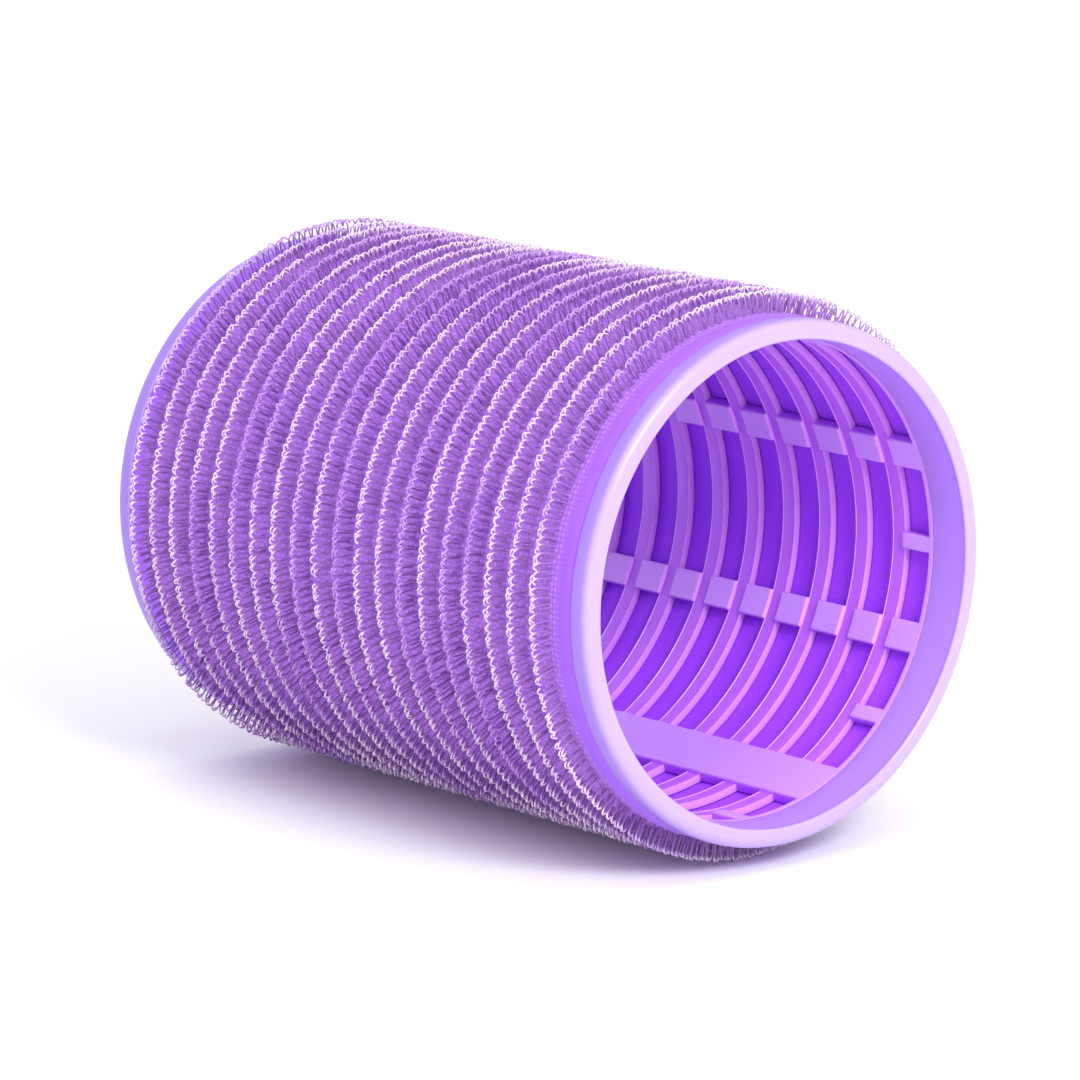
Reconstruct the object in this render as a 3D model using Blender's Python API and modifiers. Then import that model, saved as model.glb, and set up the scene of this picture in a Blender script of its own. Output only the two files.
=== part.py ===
"""Self-grip hair roller, lying on its side.

A slotted plastic core carries a sleeve of hook tape. An end ring is lapped into each end of the core and
stops the tape's edge, and rows of monofilament hooks stand up all round the sleeve. The tape is one strip,
wrapped round and joined to itself along a welded seam over the core's solid strip.

Metres, +Z up. The roller's axis is Y, its front end faces -Y, and the origin is the middle of its bore.
Each piece is modelled about its own Z axis under an empty that lays the roller down, so an angle round
the roller runs from +X towards +Z, and a height along a piece's Z is a distance towards the front.
"""

from math import cos, pi, radians, sin

import bmesh
import bpy

MM = 0.001
CLEARANCE = 0.1 * MM  # between concentric pieces

# The whole roller
LENGTH = 63.0 * MM
BORE_RADIUS = 20.35 * MM
RIM_RADIUS = 22.0 * MM  # the end rings and the tape's ground are flush
TIP_RADIUS = 24.0 * MM  # hook tips
ROUND_STEPS = 48

# Core cage: sectors of slots between lengthwise ribs, one of which is the wide solid strip
CAGE_WALL = 1.0 * MM
SECTORS = 8
SECTOR_ANGLE = 2 * pi / SECTORS
RIB_ANGLE = radians(7.5)
STRIP_ANGLE = radians(14)
STRIP_CENTRE = radians(-67.5)
SLOT_COLUMNS = 12
SLOT_WIDTH = 3.15 * MM
END_TO_FIRST_SLOT = 6.2 * MM  # from the roller's end face to the slots' centre line
BRIDGE_ANGLE = radians(4)  # the short rib that halves some slots of the end columns
BRIDGED_SECTORS = (0, 1, 3)  # of every four, counted on from the solid strip

# End rings: each laps half the core's wall, inside it
RING_DEPTH = 4.0 * MM  # the ring's whole depth, as its smooth band in the bore
LAP_LENGTH = 1.5 * MM
LAP_RADIUS = 20.85 * MM  # middle of the lap
RIM_DEPTH = 1.9 * MM
RIM_ROUND = 0.9 * MM
RIM_INNER_ROUND = 0.3 * MM

# Hook tape
TAPE_THICKNESS = 0.55 * MM
SEAM_GAP_ANGLE = radians(4.8)
WELD_ANGLE = radians(3.6)
WELD_PROUD = 0.1 * MM

# Hook rows: flat-sided rings, so that the roller lies still on a row of flats
ROWS = 20
END_TO_FIRST_ROW = 4.7 * MM
ROW_STEPS = 24
ROW_FOOT_WIDTH = 0.9 * MM
ROW_TIP_WIDTH = 1.4 * MM

# Worked out from the dimensions above
CAGE_RADIUS = BORE_RADIUS + CAGE_WALL
RIM_BACK = LENGTH / 2 - RIM_DEPTH
TAPE_END = RIM_BACK - CLEARANCE
RING_END = LENGTH / 2 - RING_DEPTH
LAP_END = RING_END + LAP_LENGTH
TAPE_INNER_RADIUS = RIM_RADIUS - TAPE_THICKNESS
SLOT_SPAN = LENGTH - 2 * END_TO_FIRST_SLOT
ROW_SPAN = LENGTH - 2 * END_TO_FIRST_ROW
WELL_OUTSIDE = 30.0 * MM  # a radius past every piece, for cutters


def clear_scene():
    for obj in list(bpy.data.objects):
        bpy.data.objects.remove(obj, do_unlink=True)


def new_collection(name):
    collection = bpy.data.collections.new(name)
    bpy.context.scene.collection.children.link(collection)
    return collection


def plastic(name, colour, roughness, alpha=1.0):
    material = bpy.data.materials.new(name)
    material.use_nodes = True
    shader = material.node_tree.nodes["Principled BSDF"]
    shader.inputs["Base Color"].default_value = (*colour, 1.0)
    shader.inputs["Roughness"].default_value = roughness
    shader.inputs["Metallic"].default_value = 0.0
    shader.inputs["Alpha"].default_value = alpha
    material.diffuse_color = (*colour, alpha)
    return material


def place(mesh, name, collection, axis, material=None, turn=(0.0, 0.0, 0.0)):
    """A new object on the roller's axis. Its own turn comes before the empty lays it down."""
    obj = bpy.data.objects.new(name, mesh)
    obj.parent = axis
    obj.rotation_euler = turn
    if material:
        obj.data.materials.append(material)
    collection.objects.link(obj)
    return obj


def turned(section, steps, name, collection, axis, material, turn=(0.0, 0.0, 0.0)):
    """A ring from its section. The (radius, height) points run down its outer side and up its inner."""
    mesh = bpy.data.meshes.new(name)
    edges = [(i, (i + 1) % len(section)) for i in range(len(section))]
    mesh.from_pydata([(radius, 0.0, height) for radius, height in section], edges, [])
    obj = place(mesh, name, collection, axis, material, turn)
    screw = obj.modifiers.new("Turn", "SCREW")
    screw.steps = steps
    screw.render_steps = steps
    screw.use_merge_vertices = True
    screw.merge_threshold = 0.01 * MM
    screw.use_smooth_shade = False
    return obj


def arc(centre, radius, first, last, steps):
    """Points of a section's rounded corner, by angles in degrees from the outward direction."""
    angles = [radians(first + (last - first) * i / steps) for i in range(steps + 1)]
    return [(centre[0] + radius * cos(a), centre[1] + radius * sin(a)) for a in angles]


def polar_box(bm, radii, angles, heights):
    """A box bent round the axis: its ends lie on two radii, two angles and two heights."""
    for vert in bmesh.ops.create_cube(bm, size=2.0)["verts"]:
        radius = radii[vert.co.x > 0]
        angle = angles[vert.co.y > 0]
        vert.co = (radius * cos(angle), radius * sin(angle), heights[vert.co.z > 0])


def polar_boxes(name, boxes, collection, axis, material=None):
    bm = bmesh.new()
    for box in boxes:
        polar_box(bm, *box)
    bmesh.ops.recalc_face_normals(bm, faces=bm.faces)
    mesh = bpy.data.meshes.new(name)
    bm.to_mesh(mesh)
    bm.free()
    return place(mesh, name, collection, axis, material)


def cutter(name, boxes, collection, axis):
    obj = polar_boxes(name, boxes, collection, axis)
    obj.hide_render = True
    obj.display_type = "WIRE"
    return obj


def cut(obj, tool):
    boolean = obj.modifiers.new("Cut " + tool.name, "BOOLEAN")
    boolean.operation = "DIFFERENCE"
    boolean.solver = "EXACT"
    boolean.object = tool


def evenly(count, span):
    """Centred heights, from the rear to the front."""
    return [span * (i / (count - 1) - 0.5) for i in range(count)]


def slot_angles(sector, at_end):
    """Where the slots of one sector open, as (first, last) angles round the roller."""
    first = STRIP_CENTRE + sector * SECTOR_ANGLE
    last = first + SECTOR_ANGLE
    first += (STRIP_ANGLE if sector == 0 else RIB_ANGLE) / 2
    last -= (STRIP_ANGLE if sector == SECTORS - 1 else RIB_ANGLE) / 2
    if not at_end or sector % 4 not in BRIDGED_SECTORS:
        return [(first, last)]
    middle = (first + last) / 2
    return [(first, middle - BRIDGE_ANGLE / 2), (middle + BRIDGE_ANGLE / 2, last)]


def slot_boxes():
    radii = (BORE_RADIUS / 2, WELL_OUTSIDE)
    boxes = []
    for column, height in enumerate(evenly(SLOT_COLUMNS, SLOT_SPAN)):
        heights = (height - SLOT_WIDTH / 2, height + SLOT_WIDTH / 2)
        at_end = column in (0, SLOT_COLUMNS - 1)
        for sector in range(SECTORS):
            boxes += [(radii, angles, heights) for angles in slot_angles(sector, at_end)]
    return boxes


def seam_angles(width):
    return (STRIP_CENTRE - width / 2, STRIP_CENTRE + width / 2)


def make_core_cage(parts, cutters, axis):
    """The moulded core: a slotted tube, thinned at both ends to lap over the end rings."""
    shoulder = RING_END - CLEARANCE
    tongue_end = LAP_END - CLEARANCE
    tongue_radius = LAP_RADIUS + CLEARANCE / 2
    section = [
        (CAGE_RADIUS, tongue_end),
        (CAGE_RADIUS, -tongue_end),
        (tongue_radius, -tongue_end),
        (tongue_radius, -shoulder),
        (BORE_RADIUS, -shoulder),
        (BORE_RADIUS, shoulder),
        (tongue_radius, shoulder),
        (tongue_radius, tongue_end),
    ]
    material = plastic("cage_plastic", (0.55, 0.30, 0.86), 0.35, 0.85)
    cage = turned(section, ROUND_STEPS, "core_cage", parts, axis, material)
    cut(cage, cutter("slots", slot_boxes(), cutters, axis))


def make_end_rings(parts, axis):
    """Two like rings: a rounded rim past the core's end, and a skirt lapped into its bore."""
    skirt_radius = LAP_RADIUS - CLEARANCE / 2
    rim_corner = (RIM_RADIUS - RIM_ROUND, LENGTH / 2 - RIM_ROUND)
    bore_corner = (BORE_RADIUS + RIM_INNER_ROUND, LENGTH / 2 - RIM_INNER_ROUND)
    back = [
        (RIM_RADIUS, RIM_BACK),
        (CAGE_RADIUS, RIM_BACK),
        (CAGE_RADIUS, LAP_END),
        (skirt_radius, LAP_END),
        (skirt_radius, RING_END),
        (BORE_RADIUS, RING_END),
    ]
    section = arc(rim_corner, RIM_ROUND, 90, 0, 4) + back + arc(bore_corner, RIM_INNER_ROUND, 180, 90, 2)
    material = plastic("rim_plastic", (0.80, 0.70, 0.95), 0.3)
    turned(section, ROUND_STEPS, "front_end_ring", parts, axis, material)
    turned(section, ROUND_STEPS, "rear_end_ring", parts, axis, material, turn=(pi, 0.0, 0.0))


def make_tape(parts, seam, axis):
    """The tape's woven ground, open along the seam, and the weld that closes it."""
    section = [
        (RIM_RADIUS, TAPE_END),
        (RIM_RADIUS, -TAPE_END),
        (TAPE_INNER_RADIUS, -TAPE_END),
        (TAPE_INNER_RADIUS, TAPE_END),
    ]
    ground = plastic("tape_ground", (0.26, 0.12, 0.72), 0.8)
    tape = turned(section, ROUND_STEPS, "hook_tape_base", parts, axis, ground)
    cut(tape, seam)
    weld_end = TAPE_END - CLEARANCE
    weld_box = ((TAPE_INNER_RADIUS, RIM_RADIUS + WELD_PROUD), seam_angles(WELD_ANGLE), (-weld_end, weld_end))
    melt = plastic("seam_melt", (0.22, 0.10, 0.60), 0.5)
    polar_boxes("seam_weld", [weld_box], parts, axis, melt)


def make_hook_rows(parts, seam, axis):
    """Each row of hooks is one ring of its own, numbered from the rear and open at the seam."""
    flat_to_corner = cos(pi / ROW_STEPS)
    foot = (RIM_RADIUS + CLEARANCE) / flat_to_corner
    tip = TIP_RADIUS / flat_to_corner
    material = plastic("hook_filament", (0.62, 0.42, 0.86), 0.4, 0.8)
    for number, height in enumerate(evenly(ROWS, ROW_SPAN), start=1):
        section = [
            (tip, height + ROW_TIP_WIDTH / 2),
            (tip, height - ROW_TIP_WIDTH / 2),
            (foot, height - ROW_FOOT_WIDTH / 2),
            (foot, height + ROW_FOOT_WIDTH / 2),
        ]
        turn = (0.0, 0.0, pi / ROW_STEPS)
        row = turned(section, ROW_STEPS, f"hook_row_{number:02d}", parts, axis, material, turn)
        cut(row, seam)


def main():
    clear_scene()
    parts = new_collection("hair_roller")
    cutters = new_collection("cutters")
    axis = bpy.data.objects.new("roller_axis", None)
    axis.rotation_euler = (pi / 2, 0.0, 0.0)
    parts.objects.link(axis)
    bore_to_outside = (BORE_RADIUS / 2, WELL_OUTSIDE)
    seam_box = (bore_to_outside, seam_angles(SEAM_GAP_ANGLE), (-LENGTH, LENGTH))
    seam = cutter("seam_gap", [seam_box], cutters, axis)
    make_core_cage(parts, cutters, axis)
    make_end_rings(parts, axis)
    make_tape(parts, seam, axis)
    make_hook_rows(parts, seam, axis)


main()
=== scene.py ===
"""Looks of the self-grip hair roller: its moulded core, milky end rings, woven hook tape and cut hooks.

Every piece stands for one CAD node. A place on the roller is a radius, an angle round it from +X
towards +Z, and a height along it towards the front, which is -Y. Lengths are metres unless a name says
otherwise.
"""

from itertools import product
from math import pi, radians

import bpy
import numpy as np
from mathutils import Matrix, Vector


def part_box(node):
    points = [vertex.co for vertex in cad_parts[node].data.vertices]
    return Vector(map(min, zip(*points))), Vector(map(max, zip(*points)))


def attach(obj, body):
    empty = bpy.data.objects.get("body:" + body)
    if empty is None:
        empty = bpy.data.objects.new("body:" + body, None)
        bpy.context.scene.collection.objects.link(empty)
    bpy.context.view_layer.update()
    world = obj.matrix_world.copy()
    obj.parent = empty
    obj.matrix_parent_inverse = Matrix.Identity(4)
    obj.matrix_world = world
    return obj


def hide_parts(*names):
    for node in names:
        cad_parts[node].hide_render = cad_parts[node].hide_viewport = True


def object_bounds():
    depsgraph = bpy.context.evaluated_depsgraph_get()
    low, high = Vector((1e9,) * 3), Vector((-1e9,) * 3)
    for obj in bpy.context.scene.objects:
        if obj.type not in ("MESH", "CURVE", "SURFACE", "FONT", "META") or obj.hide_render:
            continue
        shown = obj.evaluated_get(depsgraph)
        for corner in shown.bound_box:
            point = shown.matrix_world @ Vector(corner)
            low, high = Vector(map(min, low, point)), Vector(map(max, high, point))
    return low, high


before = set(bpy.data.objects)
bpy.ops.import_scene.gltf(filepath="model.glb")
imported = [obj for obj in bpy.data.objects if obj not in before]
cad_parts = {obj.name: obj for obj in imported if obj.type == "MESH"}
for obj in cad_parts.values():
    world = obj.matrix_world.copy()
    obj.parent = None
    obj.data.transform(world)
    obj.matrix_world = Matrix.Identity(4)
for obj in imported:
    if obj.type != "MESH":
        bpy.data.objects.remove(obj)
cad_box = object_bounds()

MM = 0.001
FULL_TURN = 2 * pi


def radii(node):
    """The least and the greatest distance of a CAD node's corners from the roller's axis."""
    points = np.array([vert.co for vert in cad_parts[node].data.vertices])
    distances = np.hypot(points[:, 0], points[:, 2])
    return float(distances.min()), float(distances.max())


# The roller's sizes, read from the frame
HALF_LENGTH = cad_box[1].y
BORE_RADIUS, CAGE_RADIUS = radii("core_cage")
RIM_RADIUS = radii("front_end_ring")[1]
TAPE_INNER_RADIUS, TAPE_RADIUS = radii("hook_tape_base")
TAPE_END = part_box("hook_tape_base")[1].y
WELD_RADIUS = radii("seam_weld")[1]
WELD_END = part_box("seam_weld")[1].y
CAGE_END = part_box("core_cage")[1].y
RING_BACK = -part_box("front_end_ring")[1].y
TIP_RADIUS = -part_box("hook_row_10")[0].z
ROWS = sorted(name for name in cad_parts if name.startswith("hook_row_"))

# The core's layout, as the CAD has it
SECTORS = 8
SECTOR_ANGLE = FULL_TURN / SECTORS
RIB_ANGLE = radians(7.5)
STRIP_ANGLE = radians(14)
STRIP_CENTRE = radians(-67.5)
SLOT_COLUMNS = 12
SLOT_WIDTH = 3.15 * MM
END_TO_FIRST_SLOT = 6.2 * MM
BRIDGE_ANGLE = radians(4)  # the short rib that halves some slots of the end columns
BRIDGED_SECTORS = (0, 1, 3)  # of every four, counted on from the solid strip
HOOP_SUNK = 0.34 * MM  # the hoops lie this much further out than the pads, strip and end bands
RELIEF_WIDTH = 0.06 * MM  # half the width of the step between them
PAD_LAP = 0.02 * MM  # the pads on the ribs reach this far over each hoop
SLOT_ROUND = 0.2 * MM
CAGE_STEP = 0.9 * MM  # the longest cell of the core's grid
TONGUE_LENGTH = 1.5 * MM
TONGUE_RADIUS = 20.9 * MM
SHOULDER = CAGE_END - TONGUE_LENGTH  # past it the core thins to a tongue over the end ring's skirt

# End rings
RIM_DEPTH = 1.9 * MM
RIM_ROUND = 0.9 * MM
RIM_INNER_ROUND = 0.3 * MM
LAP_END = 29.0 * MM
SKIRT_RADIUS = 20.8 * MM
SKIRT_TINT_MM = (20.42, 20.6)  # the violet that shows through the skirt fades between these radii
EDGE_ROUND = 0.12 * MM  # the rings' small edges: behind the rim and at the skirt's end
RING_STEPS = 192

# Hook tape and its seam
SEAM_GAP_ANGLE = radians(4.8)
WELD_ANGLE = radians(3.6)
TAPE_CELLS = (300, 140)  # round the roller and along it
WELD_CELLS = (12, 320)  # likewise
GROUND_SUNK = 0.08 * MM  # between the hook rows the weave lies this far inside the CAD tape
GROUND_LIFT = 0.03 * MM  # and its back lies this far off the core
RIDGE_RISE = 0.09 * MM  # the ground's rise under each hook row
RIDGE_TOP = 0.2 * MM  # half the width of that ridge at its top
RIDGE_FOOT = 0.75 * MM  # and at its foot
HEM_WIDTH = 0.5 * MM  # over this width the ground thins to each of its ends
HEM_DROP = 0.12 * MM  # by this much
WEFT_THREADS = 308  # round the roller, an even number so that the weave meets itself
WARP_PITCH_MM = 0.42
SELVEDGE_MM = (27.5, 28.1)  # from the tape's middle, where its ground passes into the selvedge
WELD_SUNK = 0.34 * MM  # the bead's edges lie this far inside the CAD weld
WELD_CROWN = 0.16 * MM
KNURL_PITCH = 1.1 * MM
KNURL_DEPTH = 0.13 * MM
KNURL_SLANT = 40.0  # radians of the knurl's wave to one radian round the roller
UNEVENNESS = 0.012 * MM

# Hooks
PAIRS_PER_ROW = 200
HOOK_GAP_ANGLE = SEAM_GAP_ANGLE + radians(1.2)  # the rows stop a little short of the seam
FILAMENT_RADIUS = 0.07 * MM
FILAMENT_FOOT = 1.15  # a filament's thickness at its foot, times that at its tip
FILAMENT_SIDES = 5
LEG_SPREAD = 0.011  # radians between a pair's place and each of its legs
LEG_JITTER = 0.004  # radians, and like the next two a standard deviation
LEG_DRIFT_MM = 0.035
LEG_TILT_MM = 0.08
HOOKS_LOST = 0.02
HOOK_TALL = (0.93, 1.0)  # least and greatest share of a hook's full height
HOOK_SPREAD = (0.7, 1.2)  # and of its lean and curl
HOOK_REACH_MM = 1.8  # the height at which a hook's tilt is whole
STUBS_LOST = 0.35
STUB_TALL_MM = (0.45, 0.9)

# Stage
FLOOR_HALF = 8.0
CAMERA_PLACE = (-0.3211, -0.3774, 0.0991)
CAMERA_TARGET = (0.0, 0.0, -0.001)
CAMERA_LENS_MM = 196


# ---------------------------------------------------------------- geometry


def smoothstep(low, high, value):
    """0 below low, 1 above high, and smooth between them."""
    share = np.clip((value - low) / (high - low), 0.0, 1.0)
    return share * share * (3.0 - 2.0 * share)


def at(radius, angle, height):
    """Points in the row frame, from arrays of places on the roller."""
    radius, angle, height = np.broadcast_arrays(radius, angle, height)
    return np.stack([radius * np.cos(angle), -height, radius * np.sin(angle)], -1)


def new_piece(name, points, faces, sharp_angle=40):
    """A smooth-shaded mesh object, from an array of points and lists of their numbers."""
    mesh = bpy.data.meshes.new(name)
    mesh.from_pydata(points.reshape(-1, 3).tolist(), [], faces)
    mesh.validate()
    mesh.shade_smooth()
    mesh.set_sharp_from_angle(angle=radians(sharp_angle))
    obj = bpy.data.objects.new(name, mesh)
    bpy.context.scene.collection.objects.link(obj)
    return obj


def finish_piece(obj, material, slot, *nodes):
    """Gives a piece its material, hangs it on the root body and hides the CAD nodes that it stands for.
    """
    obj.data.materials.append(material)
    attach(obj, "root")
    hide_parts(*nodes)
    return obj


def grid_lines(first, last, edges, step):
    """Sorted lines from first to last: on and close beside each edge, and at most a step apart."""
    beside = (0.0, 0.05 * MM, 0.12 * MM, 0.21 * MM)
    lines = {first, last}
    for edge in edges:
        lines |= {edge + side * gap for gap in beside for side in (-1, 1)}
    lines = sorted(line for line in lines if first <= line <= last)
    filled = []
    for low, high in zip(lines, lines[1:]):
        count = max(1, int(np.ceil((high - low) / step)))
        filled += [low + (high - low) * i / count for i in range(count)]
    return np.array(filled + [last])


def shell_faces(solid, turns_round):
    """Faces of a shell over a grid of cells, closed by a wall wherever a solid cell meets none.

    Its points are the outer skin's grid, then the inner skin's. A grid that turns right round has as many
    lines of points as of cells, and an open one has one more.
    """
    across, along = solid.shape
    lines = across if turns_round else across + 1
    outer = np.arange(lines * (along + 1)).reshape(lines, along + 1)
    inner = outer + outer.size
    if turns_round:
        outer = np.vstack([outer, outer[:1]])
        inner = np.vstack([inner, inner[:1]])
    corners = (slice(None, -1), slice(None, -1)), (slice(1, None), slice(None, -1))
    corners += (slice(1, None), slice(1, None)), (slice(None, -1), slice(1, None))
    top = np.stack([outer[c] for c in corners], -1)[solid]
    under = np.stack([inner[c] for c in reversed(corners)], -1)[solid]
    parts = [top, under]
    before = np.roll(solid, 1, 0)
    after = np.roll(solid, -1, 0)
    if not turns_round:
        before[0] = False
        after[-1] = False
    low = np.stack([outer[:-1, :-1], outer[:-1, 1:], inner[:-1, 1:], inner[:-1, :-1]], -1)
    high = np.stack([inner[1:, :-1], inner[1:, 1:], outer[1:, 1:], outer[1:, :-1]], -1)
    parts += [low[solid & ~before], high[solid & ~after]]
    none = np.zeros((across, 1), bool)
    behind = np.hstack([none, solid[:, :-1]])
    ahead = np.hstack([solid[:, 1:], none])
    rear = np.stack([outer[:-1, :-1], inner[:-1, :-1], inner[1:, :-1], outer[1:, :-1]], -1)
    front = np.stack([outer[1:, 1:], inner[1:, 1:], inner[:-1, 1:], outer[:-1, 1:]], -1)
    parts += [rear[solid & ~behind], front[solid & ~ahead]]
    return np.concatenate(parts).tolist()


def shell(name, outer, inner, solid, turns_round):
    """A closed shell between two skins of points. Points that no face uses are left out."""
    faces = shell_faces(solid, turns_round)
    used = np.unique(np.array(faces))
    renumbered = np.zeros(outer.size // 3 * 2, int)
    renumbered[used] = np.arange(used.size)
    points = np.concatenate([outer.reshape(-1, 3), inner.reshape(-1, 3)])[used]
    return new_piece(name, points, renumbered[np.array(faces)].tolist())


def evenly(count, span):
    """Places spread over a span whose middle is at 0."""
    return [span * (i / (count - 1) - 0.5) for i in range(count)]


# ---------------------------------------------------------------- material nodes


class Shade:
    """A Principled material, with short calls for the nodes that feed it."""

    def __init__(self, name, **values):
        self.material = bpy.data.materials.new(name)
        self.material.use_nodes = True
        self.tree = self.material.node_tree
        self.shader = self.tree.nodes["Principled BSDF"]
        for socket, value in values.items():
            self.shader.inputs[socket.replace("_", " ")].default_value = value

    def node(self, kind, inputs=(), **settings):
        node = self.tree.nodes.new("ShaderNode" + kind)
        for key, value in settings.items():
            setattr(node, key, value)
        for socket, value in dict(inputs).items():
            self.feed(node.inputs[socket], value)
        return node

    def feed(self, socket, value):
        if isinstance(value, bpy.types.NodeSocket):
            self.tree.links.new(value, socket)
        else:
            socket.default_value = value

    def math(self, operation, first, second=0.0, third=0.0):
        return self.node("Math", {0: first, 1: second, 2: third}, operation=operation).outputs[0]

    def step(self, value, low, high):
        """0 below low, 1 above high, and smooth between them."""
        inputs = {"Value": value, "From Min": low, "From Max": high}
        return self.node("MapRange", inputs, interpolation_type="SMOOTHSTEP").outputs["Result"]

    def mix(self, factor, first, second):
        node = self.node("Mix", data_type="RGBA")
        for index, value in ((0, factor), (6, first), (7, second)):
            self.feed(node.inputs[index], value)
        return node.outputs[2]

    def polar(self):
        """Angle in radians, and radius and height in mm, of the shaded point."""
        spot = self.node("TexCoord").outputs["Object"]
        x, y, z = self.node("SeparateXYZ", {0: spot}).outputs
        squares = self.math("ADD", self.math("MULTIPLY", x, x), self.math("MULTIPLY", z, z))
        radius = self.math("DIVIDE", self.math("SQRT", squares), MM)
        return self.math("ARCTAN2", z, x), radius, self.math("DIVIDE", y, -MM)

    def noise(self, per_mm, detail=2.0, stretch=(1.0, 1.0, 1.0)):
        """Noise fixed to the object, from 0 to 1, with features of about 1 / per_mm millimetres."""
        spot = self.node("TexCoord").outputs["Object"]
        scale = [per_mm / MM * share for share in stretch]
        scaled = self.node("VectorMath", {0: spot, 1: scale}, operation="MULTIPLY")
        inputs = {"Vector": scaled.outputs[0], "Scale": 1.0, "Detail": detail}
        return self.node("TexNoise", inputs).outputs["Fac"]

    def bump(self, height, depth_mm, strength=1.0):
        inputs = {"Height": height, "Distance": depth_mm * MM, "Strength": strength}
        self.feed(self.shader.inputs["Normal"], self.node("Bump", inputs).outputs[0])

    def colour(self, value):
        self.feed(self.shader.inputs["Base Color"], value)

    def roughness(self, value):
        self.feed(self.shader.inputs["Roughness"], value)


def rgb(red, green, blue):
    """A colour from its sRGB values, 0 to 255."""
    shares = np.array([red, green, blue]) / 255
    linear = np.where(shares <= 0.04045, shares / 12.92, ((shares + 0.055) / 1.055) ** 2.4)
    return (*linear.tolist(), 1.0)


def core_plastic():
    """Translucent lilac polypropylene: darker and more violet on the sunk hoops, which is painted shade,
    paler where it stands proud, and palest where it is seen edge on, which is a painted highlight.
    """
    shade = Shade("core_plastic", IOR=1.49, Subsurface_Weight=0.25, Subsurface_Scale=1.0 * MM)
    shade.shader.inputs["Subsurface Radius"].default_value = (1.0, 0.6, 1.2)
    _, radius, _ = shade.polar()
    bore = BORE_RADIUS / MM
    # the sunk hoops get a darker, more violet colour than the proud pads: painted shade in the recess
    proud = shade.math("SUBTRACT", 1.0, shade.step(radius, bore + 0.04, bore + 0.26))
    normal = shade.node("TexCoord").outputs["Normal"]
    along = shade.math("ABSOLUTE", shade.node("SeparateXYZ", {0: normal}).outputs[1])
    # walls seen end on get a pale pink: a painted highlight where light from the open end falls on them
    edge_on_highlight = shade.step(along, 0.5, 0.95)
    clouds = shade.noise(0.12, 3.0)
    shaded_hoop = shade.mix(clouds, rgb(198, 108, 242), rgb(208, 124, 246))
    pad = shade.mix(clouds, rgb(216, 162, 249), rgb(222, 174, 252))
    lit_wall = rgb(242, 168, 255)
    shade.colour(shade.mix(edge_on_highlight, shade.mix(proud, shaded_hoop, pad), lit_wall))
    shade.roughness(shade.math("MULTIPLY_ADD", shade.noise(1.5), 0.18, 0.24))
    shade.bump(shade.noise(2.2, 4.0), 0.012, 0.7)
    return shade.material


def rim_plastic():
    """Milky plastic, with flow clouds, and a darker lavender on its outer side, which is painted shade.
    Its thin skirt shows the violet tape that lies behind it.
    """
    shade = Shade("rim_plastic", IOR=1.49, Subsurface_Weight=0.35, Subsurface_Scale=1.5 * MM)
    shade.shader.inputs["Subsurface Radius"].default_value = (1.0, 0.7, 1.1)
    _, radius, height = shade.polar()
    depth = shade.math("SUBTRACT", HALF_LENGTH / MM, shade.math("ABSOLUTE", height))
    inside = shade.math("SUBTRACT", 1.0, shade.step(radius, *SKIRT_TINT_MM))
    band = shade.math("MULTIPLY", shade.step(depth, 0.22, 0.5), inside)
    clouds = shade.noise(0.1, 3.0)
    # the ring's outer side is a darker lavender than its end face: painted shade on the side turned from
    # the light
    normal = shade.node("TexCoord").outputs["Normal"]
    facing_end = shade.math("ABSOLUTE", shade.node("SeparateXYZ", {0: normal}).outputs[1])
    side = shade.mix(clouds, rgb(150, 116, 212), rgb(160, 128, 216))
    face = shade.mix(clouds, rgb(179, 155, 227), rgb(187, 165, 231))
    rim = shade.mix(shade.step(facing_end, 0.1, 0.8), side, face)
    skirt = shade.mix(clouds, rgb(184, 142, 240), rgb(192, 152, 243))
    shade.colour(shade.mix(band, rim, skirt))
    shade.roughness(shade.mix(shade.noise(0.5), (0.26, 0.26, 0.26, 1.0), (0.32, 0.32, 0.32, 1.0)))
    shade.bump(shade.noise(0.7, 2.0), 0.01, 0.3)
    return shade.material


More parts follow.
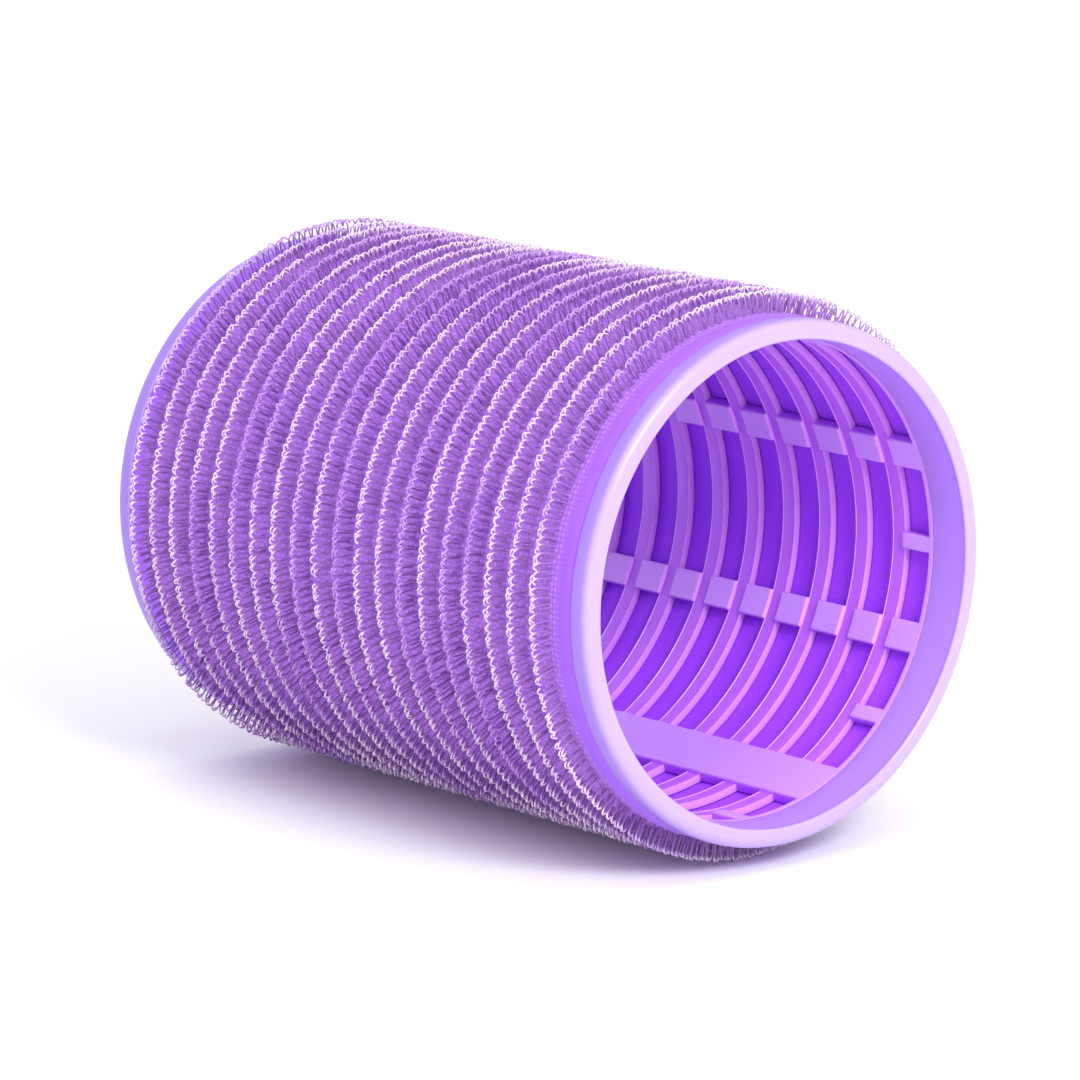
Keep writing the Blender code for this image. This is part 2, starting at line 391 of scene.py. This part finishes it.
def tape_ground():
    """Plain weave of violet nylon, with painted shade in the gaps between its threads, smoother and bluer
    in its selvedges, and deeper and brighter violet on its back, which is painted light shining through
    the tape.
    """
    shade = Shade("tape_ground", Sheen_Weight=0.25, Sheen_Roughness=0.4, IOR=1.5)
    shade.shader.inputs["Sheen Tint"].default_value = rgb(214, 186, 255)
    angle, radius, height = shade.polar()
    weft = shade.math("SINE", shade.math("MULTIPLY", angle, WEFT_THREADS / 2))
    warp = shade.math("SINE", shade.math("MULTIPLY", height, pi / WARP_PITCH_MM))
    crossing = shade.math("MULTIPLY", weft, warp)
    pillow = shade.math("POWER", shade.math("ABSOLUTE", crossing), 0.6)
    warp_up = shade.math("MULTIPLY_ADD", crossing, 0.5, 0.5)
    selvedge = shade.step(shade.math("ABSOLUTE", height), *SELVEDGE_MM)
    fuzz = shade.noise(1.6, 5.0)
    threads = shade.mix(warp_up, rgb(164, 98, 212), rgb(188, 128, 222))
    # the gaps between threads are painted darker: painted shade in the weave's hollows
    gap_shaded_weave = shade.mix(pillow, rgb(128, 58, 196), threads)
    ground = shade.mix(shade.math("MULTIPLY", fuzz, 0.5), gap_shaded_weave, rgb(196, 136, 242))
    edge = shade.mix(pillow, rgb(152, 87, 237), rgb(158, 93, 240))
    # the tape's back is a brighter violet: painted light that shines through the tape from outside
    back = shade.mix(pillow, rgb(168, 70, 242), rgb(176, 78, 248))
    face = shade.mix(selvedge, ground, edge)
    core_side = TAPE_INNER_RADIUS / MM
    outside = shade.step(radius, core_side + 0.1, core_side + 0.25)
    shade.colour(shade.mix(outside, back, face))
    shade.roughness(shade.mix(fuzz, (0.55, 0.55, 0.55, 1.0), (0.85, 0.85, 0.85, 1.0)))
    pressed = shade.math("MAXIMUM", selvedge, shade.math("SUBTRACT", 1.0, outside))
    weave = shade.math("MULTIPLY", pillow, shade.math("MULTIPLY_ADD", pressed, -0.65, 1.0))
    shade.bump(shade.math("MULTIPLY_ADD", fuzz, 0.35, weave), 0.07, 0.7)
    return shade.material


def seam_melt():
    """Tape melted by the welding tool: darker, glossier and uneven."""
    shade = Shade("seam_melt", IOR=1.5)
    uneven = shade.noise(0.9, 4.0)
    shade.colour(shade.mix(uneven, rgb(84, 36, 178), rgb(140, 84, 232)))
    shade.roughness(shade.mix(uneven, (0.28, 0.28, 0.28, 1.0), (0.6, 0.6, 0.6, 1.0)))
    shade.bump(shade.noise(3.0, 4.0), 0.04, 0.9)
    return shade.material


def hook_filament():
    """Nylon monofilament, lilac: darker at the foot, which is painted shade among the hooks, and paler at
    the tip, which is a painted glint that is brighter in some rows.
    """
    shade = Shade("hook_filament", IOR=1.53, Transmission_Weight=0.15)
    _, radius, _ = shade.polar()
    tip_radius = TIP_RADIUS / MM
    # the tips are painted near-white, a painted glint, and the darker foot is painted shade among the
    # hooks
    tip_glint_mask = shade.step(radius, tip_radius - 0.75, tip_radius - 0.2)
    # some rows get a brighter painted glint, picked at random
    brighter_glint = shade.step(shade.noise(0.22, 2.0, (0.25, 1.8, 0.25)), 0.34, 0.58)
    shaded_foot = shade.mix(brighter_glint, rgb(150, 98, 184), rgb(170, 122, 198))
    glinting_tip = shade.mix(brighter_glint, rgb(212, 164, 242), rgb(255, 236, 255))
    shade.colour(shade.mix(tip_glint_mask, shaded_foot, glinting_tip))
    shade.roughness(shade.mix(shade.noise(2.0), (0.22, 0.22, 0.22, 1.0), (0.4, 0.4, 0.4, 1.0)))
    return shade.material


def floor_paint():
    shade = Shade("floor_paint", Roughness=0.9)
    clouds = shade.noise(0.02, 3.0)
    shade.colour(shade.mix(clouds, (0.93, 0.93, 0.94, 1.0), (0.96, 0.96, 0.97, 1.0)))
    return shade.material


# ---------------------------------------------------------------- pieces


def slot_spans(at_end):
    """(first, last) angles of one column's slots, sector by sector from the solid strip."""
    spans = []
    for sector in range(SECTORS):
        first = STRIP_CENTRE + sector * SECTOR_ANGLE
        last = first + SECTOR_ANGLE
        first += (STRIP_ANGLE if sector == 0 else RIB_ANGLE) / 2
        last -= (STRIP_ANGLE if sector == SECTORS - 1 else RIB_ANGLE) / 2
        middle = (first + last) / 2
        if at_end and sector % 4 in BRIDGED_SECTORS:
            spans += [(first, middle - BRIDGE_ANGLE / 2), (middle + BRIDGE_ANGLE / 2, last)]
        else:
            spans.append((first, last))
    return spans


def slot_openings():
    """Every slot, as two angles and two heights."""
    openings = []
    for column, height in enumerate(evenly(SLOT_COLUMNS, 2 * (HALF_LENGTH - END_TO_FIRST_SLOT))):
        at_end = column in (0, SLOT_COLUMNS - 1)
        for first, last in slot_spans(at_end):
            openings.append((first, last, height - SLOT_WIDTH / 2, height + SLOT_WIDTH / 2))
    return openings


def cage_grid(openings):
    """Angles and heights of the core's grid lines, close together beside each slot's edges."""
    arc_edges = {angle * BORE_RADIUS for first, last, _, _ in openings for angle in (first, last)}
    arc_start = STRIP_CENTRE * BORE_RADIUS
    arcs = grid_lines(arc_start, arc_start + FULL_TURN * BORE_RADIUS, arc_edges, CAGE_STEP)
    height_edges = {height for _, _, low, high in openings for height in (low, high)}
    height_edges |= {-SHOULDER, SHOULDER}
    return arcs / BORE_RADIUS, grid_lines(-CAGE_END, CAGE_END, height_edges, CAGE_STEP)


def solid_cells(openings, angles, heights):
    """Which cells of the core's grid lie outside every slot."""
    cell_angles = (angles[1:] + angles[:-1])[:, None] / 2
    cell_heights = (heights[1:] + heights[:-1])[None, :] / 2
    solid = np.ones((angles.size - 1, heights.size - 1), bool)
    for first, last, low, high in openings:
        in_arc = (cell_angles > first) & (cell_angles < last)
        solid &= ~(in_arc & (cell_heights > low) & (cell_heights < high))
    return solid


def slot_distance(openings, angle, height):
    """The distance of each of the core's grid points from the nearest slot."""
    nearest = np.ones((angle.size, height.size))
    for first, last, low, high in openings:
        beside = np.maximum(np.maximum(first - angle, angle - last), 0.0) * BORE_RADIUS
        past = np.maximum(np.maximum(low - height, height - high), 0.0)
        nearest = np.minimum(nearest, np.hypot(beside, past))
    return nearest


def cage_relief(openings, angle, height):
    """1 where the core's inside stands proud, on pads, strip and end bands, and 0 on the hoops."""
    in_column = np.zeros((1, height.size))
    for _, _, low, high in openings:
        into_column = np.minimum(height - low, high - height) + PAD_LAP
        in_column = np.maximum(in_column, smoothstep(-RELIEF_WIDTH, RELIEF_WIDTH, into_column))
    from_strip = np.minimum(angle - STRIP_CENTRE, STRIP_CENTRE + FULL_TURN - angle) * BORE_RADIUS
    strip_half = STRIP_ANGLE / 2 * BORE_RADIUS
    on_strip = 1.0 - smoothstep(strip_half - RELIEF_WIDTH, strip_half + RELIEF_WIDTH, from_strip)
    in_end_band = (np.abs(height) > HALF_LENGTH - END_TO_FIRST_SLOT).astype(float)
    return np.maximum(np.maximum(in_column, on_strip), in_end_band)


def make_core_cage(material):
    openings = slot_openings()
    angles, heights = cage_grid(openings)
    angle, height = angles[:-1, None], heights[None, :]
    cut_back = np.clip(SLOT_ROUND - slot_distance(openings, angle, height), 0.0, SLOT_ROUND)
    rounding = SLOT_ROUND - np.sqrt(np.maximum(SLOT_ROUND**2 - cut_back**2, 0.0))
    sunk = HOOP_SUNK * (1.0 - cage_relief(openings, angle, height))
    inner_radius = BORE_RADIUS + sunk + rounding
    on_tongue = np.abs(height) > SHOULDER + 0.01 * MM  # so not the grid line on the shoulder itself
    inner_radius = np.where(on_tongue, TONGUE_RADIUS, inner_radius)
    outer = at(CAGE_RADIUS - rounding / 2, angle, height)
    inner = at(inner_radius, angle, height)
    solid = solid_cells(openings, angles, heights)
    cage = shell("core_cage_moulding", outer, inner, solid, True)
    return finish_piece(cage, material, "core_plastic", "core_cage")


def corner(centre, radius, first, last, steps):
    """Points of an arc, from one angle to another in degrees."""
    turn = np.radians(np.linspace(first, last, steps + 1))
    return [(centre[0] + radius * np.cos(a), centre[1] + radius * np.sin(a)) for a in turn]


def ring_section():
    """One end ring's section, round from its rim: (radius, height) points of a closed loop."""
    back = HALF_LENGTH - RIM_DEPTH
    loop = corner((RIM_RADIUS - RIM_ROUND, HALF_LENGTH - RIM_ROUND), RIM_ROUND, 90, 0, 14)
    loop += corner((RIM_RADIUS - EDGE_ROUND, back + EDGE_ROUND), EDGE_ROUND, 0, -90, 3)
    loop += [(CAGE_RADIUS, back), (CAGE_RADIUS, LAP_END), (SKIRT_RADIUS, LAP_END)]
    loop += [(SKIRT_RADIUS, RING_BACK), (BORE_RADIUS + EDGE_ROUND, RING_BACK)]
    loop += corner((BORE_RADIUS + EDGE_ROUND, RING_BACK + EDGE_ROUND), EDGE_ROUND, 270, 180, 3)[1:]
    ring_depth = HALF_LENGTH - RING_BACK
    loop += [(BORE_RADIUS, RING_BACK + ring_depth * share) for share in (0.3, 0.6, 0.85)]
    inner = (BORE_RADIUS + RIM_INNER_ROUND, HALF_LENGTH - RIM_INNER_ROUND)
    loop += corner(inner, RIM_INNER_ROUND, 180, 90, 8)
    return loop


def make_end_ring(name, node, facing, material):
    """facing is 1 for the front ring and -1 for the rear one."""
    loop = ring_section()
    radius = np.array([point[0] for point in loop])[None, :]
    height = np.array([point[1] for point in loop])[None, :] * facing
    angle = (FULL_TURN * np.arange(RING_STEPS) / RING_STEPS)[:, None]
    numbers = np.arange(RING_STEPS * len(loop)).reshape(RING_STEPS, len(loop))
    beside = np.roll(numbers, -1, 0)
    quads = np.stack([numbers, np.roll(numbers, -1, 1), np.roll(beside, -1, 1), beside], -1)
    quads = quads.reshape(-1, 4)
    if facing < 0:
        quads = quads[:, ::-1]
    ring = new_piece(name, at(radius, angle, height), quads.tolist(), sharp_angle=30)
    return finish_piece(ring, material, "rim_plastic", node)


def row_heights():
    """Each hook row's middle, from its CAD node's box."""
    return {row: -(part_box(row)[0].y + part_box(row)[1].y) / 2 for row in ROWS}


def make_tape(material, rng):
    first = STRIP_CENTRE + SEAM_GAP_ANGLE / 2
    last = STRIP_CENTRE + FULL_TURN - SEAM_GAP_ANGLE / 2
    angle = np.linspace(first, last, TAPE_CELLS[0] + 1)[:, None]
    height = np.linspace(-TAPE_END, TAPE_END, TAPE_CELLS[1] + 1)[None, :]
    ridge = np.zeros(height.shape)
    for middle in row_heights().values():
        ridge = np.maximum(ridge, 1.0 - smoothstep(RIDGE_TOP, RIDGE_FOOT, np.abs(height - middle)))
    uneven = rng.normal(0.0, UNEVENNESS, (angle.size, height.size))
    from_hem = smoothstep(0.0, HEM_WIDTH, TAPE_END - np.abs(height))
    outer_radius = TAPE_RADIUS - HEM_DROP * (1.0 - from_hem) - GROUND_SUNK
    outer_radius = outer_radius + ridge * RIDGE_RISE + uneven * from_hem
    outer = at(outer_radius, angle, height)
    inner = at(TAPE_INNER_RADIUS + GROUND_LIFT * (1.0 - ridge), angle, height)
    tape = shell("hook_tape_ground", outer, inner, np.ones(TAPE_CELLS, bool), False)
    return finish_piece(tape, material, "tape_ground", "hook_tape_base")


def make_weld(material, rng):
    angle = (STRIP_CENTRE + WELD_ANGLE * np.linspace(-0.5, 0.5, WELD_CELLS[0] + 1))[:, None]
    height = np.linspace(-WELD_END, WELD_END, WELD_CELLS[1] + 1)[None, :]
    from_middle = angle - STRIP_CENTRE
    crown = 1.0 - (np.abs(from_middle) / (WELD_ANGLE / 2)) ** 2
    knurl = 0.5 + 0.5 * np.cos(FULL_TURN * height / KNURL_PITCH + KNURL_SLANT * from_middle)
    uneven = rng.normal(0.0, UNEVENNESS, (angle.size, height.size))
    outer_radius = WELD_RADIUS - WELD_SUNK + crown * (WELD_CROWN + KNURL_DEPTH * knurl) + uneven
    outer = at(outer_radius, angle, height)
    inner = at(TAPE_INNER_RADIUS, angle, height)
    weld = shell("seam_weld_bead", outer, inner, np.ones(WELD_CELLS, bool), False)
    return finish_piece(weld, material, "seam_melt", "seam_weld")


def tubes(paths, sideways, radius):
    """Points and faces of many like tubes with flat ends.

    paths is (tube, point, 3), sideways is one direction across each tube, and radius goes along a tube.
    """
    count, length, _ = paths.shape
    forward = np.gradient(paths, axis=1)
    forward /= np.linalg.norm(forward, axis=2, keepdims=True)
    up = np.cross(sideways[:, None, :], forward)
    up /= np.linalg.norm(up, axis=2, keepdims=True)
    across = np.cross(forward, up)
    turn = FULL_TURN * np.arange(FILAMENT_SIDES) / FILAMENT_SIDES
    ring = up[:, :, None, :] * np.cos(turn)[None, None, :, None]
    ring += across[:, :, None, :] * np.sin(turn)[None, None, :, None]
    points = paths[:, :, None, :] + ring * radius[None, :, None, None]
    numbers = np.arange(count * length * FILAMENT_SIDES).reshape(count, length, FILAMENT_SIDES)
    beside = np.roll(numbers, -1, 2)
    walls = np.stack([numbers[:, :-1], beside[:, :-1], beside[:, 1:], numbers[:, 1:]], -1)
    walls = walls.reshape(-1, 4)
    starts = numbers[:, 0, ::-1]
    ends = numbers[:, -1, :]
    return points.reshape(-1, 3), walls.tolist() + starts.tolist() + ends.tolist()


def hook_path(side, rng, count):
    """Hooks that rise on one side of their row and curl over: offsets round, along and out, in mm.

    The hooks of a row's two sides curl opposite ways round the roller.
    """
    rise = np.array([-0.2, 0.3, 0.8, 1.25, 1.6, 1.83, 1.88, 1.76, 1.55])
    lean = np.array([0.22, 0.22, 0.21, 0.19, 0.17, 0.14, 0.12, 0.1, 0.09])
    curl = np.array([0.0, 0.0, 0.02, 0.05, 0.12, 0.28, 0.47, 0.62, 0.68])
    tall = rng.uniform(*HOOK_TALL, (count, 1))
    spread = rng.uniform(*HOOK_SPREAD, (count, 1))
    curl_spread = spread[::-1]  # the same shares in another order, so lean and curl vary apart
    tilt = rng.normal(0.0, LEG_TILT_MM, (count, 1))
    out = np.where(rise > 0, rise * tall, rise)
    along = side * lean * spread
    around = side * curl * curl_spread + tilt * np.clip(rise, 0.0, None) / HOOK_REACH_MM
    return np.stack([around, along, out], -1)


def stub_path(side, rng, count):
    """The short legs that are left of the loops when their hooks are cut: offsets as for a hook."""
    tall = rng.uniform(*STUB_TALL_MM, (count, 1))
    share = np.array([-0.3, 0.5, 1.0])
    around = rng.normal(0.0, LEG_TILT_MM, (count, 1)) * share
    along = np.broadcast_to(side * (0.3 + 0.08 * share), around.shape)
    return np.stack([around, along, tall * share], -1)


def place_paths(offsets, angles, height):
    """Points on the roller, from offsets in mm about places at one height."""
    radius = TAPE_RADIUS + offsets[..., 2] * MM
    angle = angles[:, None] + offsets[..., 0] * MM / TAPE_RADIUS
    return at(radius, angle, height + offsets[..., 1] * MM)


def make_hook_row(name, node, height, material, rng):
    """A row of pairs, each of two hooks and two cut stubs, some of them lost."""
    places = np.arange(PAIRS_PER_ROW) / (PAIRS_PER_ROW - 1)
    pair_angles = STRIP_CENTRE + HOOK_GAP_ANGLE / 2 + (FULL_TURN - HOOK_GAP_ANGLE) * places
    hooks = (hook_path, HOOKS_LOST, LEG_SPREAD)
    stubs = (stub_path, STUBS_LOST, -LEG_SPREAD)
    points, faces = [], []
    total = 0
    for (path, lost, spread), side in product((hooks, stubs), (1, -1)):
        kept = rng.random(PAIRS_PER_ROW) > lost
        angles = pair_angles + spread * side + rng.normal(0.0, LEG_JITTER, PAIRS_PER_ROW)
        angles = angles[kept]
        offsets = path(side, rng, angles.size)
        offsets[..., 1] += rng.normal(0.0, LEG_DRIFT_MM, (angles.size, 1))
        paths = place_paths(offsets, angles, height)
        round_the_roller = np.stack([-np.sin(angles), np.zeros(angles.size), np.cos(angles)], -1)
        radius = np.linspace(FILAMENT_FOOT, 1.0, paths.shape[1]) * FILAMENT_RADIUS
        new_points, new_faces = tubes(paths, round_the_roller, radius)
        points.append(new_points)
        faces += [[number + total for number in face] for face in new_faces]
        total += len(new_points)
    row = new_piece(name, np.concatenate(points), faces, sharp_angle=60)
    return finish_piece(row, material, "hook_filament", node)


# ---------------------------------------------------------------- stage


def make_floor():
    low = cad_box[0].z
    mesh = bpy.data.meshes.new("floor")
    signs = ((-1, -1), (1, -1), (1, 1), (-1, 1))
    corners = [(x * FLOOR_HALF, y * FLOOR_HALF, low) for x, y in signs]
    mesh.from_pydata(corners, [], [(0, 1, 2, 3)])
    mesh.materials.append(floor_paint())
    floor = bpy.data.objects.new("floor", mesh)
    bpy.context.scene.collection.objects.link(floor)


def aim(obj, place, target):
    """Adds a light or camera to the scene, at a place and turned to a target."""
    obj.location = place
    obj.rotation_euler = (Vector(target) - Vector(place)).to_track_quat("-Z", "Y").to_euler()
    bpy.context.scene.collection.objects.link(obj)


def softbox(name, place, target, size, watts):
    """A rectangular area light."""
    lamp = bpy.data.lights.new(name, "AREA")
    lamp.shape = "RECTANGLE"
    lamp.size, lamp.size_y = size
    lamp.energy = watts
    aim(bpy.data.objects.new(name, lamp), place, target)


def make_stage():
    make_floor()
    world = bpy.data.worlds.new("studio")
    world.use_nodes = True
    world.node_tree.nodes["Background"].inputs["Color"].default_value = (1.0, 1.0, 1.0, 1.0)
    world.node_tree.nodes["Background"].inputs["Strength"].default_value = 1.0
    scene = bpy.context.scene
    scene.world = world
    scene.view_settings.view_transform = "Standard"
    softbox("key", (-0.55, -0.3, 0.7), target=(0, 0, 0), size=(0.5, 0.4), watts=1.2)
    into_bore = (0, -0.02, -0.012)
    softbox("bore_light", (-0.12, -0.6, 0.42), target=into_bore, size=(0.3, 0.2), watts=3.8)
    camera = bpy.data.cameras.new("camera")
    camera.lens = CAMERA_LENS_MM
    camera.sensor_width = 36
    scene.camera = bpy.data.objects.new("camera", camera)
    aim(scene.camera, CAMERA_PLACE, CAMERA_TARGET)


def main():
    rng = np.random.default_rng(20)
    make_stage()
    make_core_cage(core_plastic())
    rim = rim_plastic()
    make_end_ring("front_rim_ring", "front_end_ring", 1, rim)
    make_end_ring("rear_rim_ring", "rear_end_ring", -1, rim)
    tape = make_tape(tape_ground(), rng)
    weld = make_weld(seam_melt(), rng)
    nylon = hook_filament()
    for number, (node, height) in enumerate(row_heights().items(), start=1):
        make_hook_row(f"hooks_{number:02d}", node, height, nylon, rng)


main()
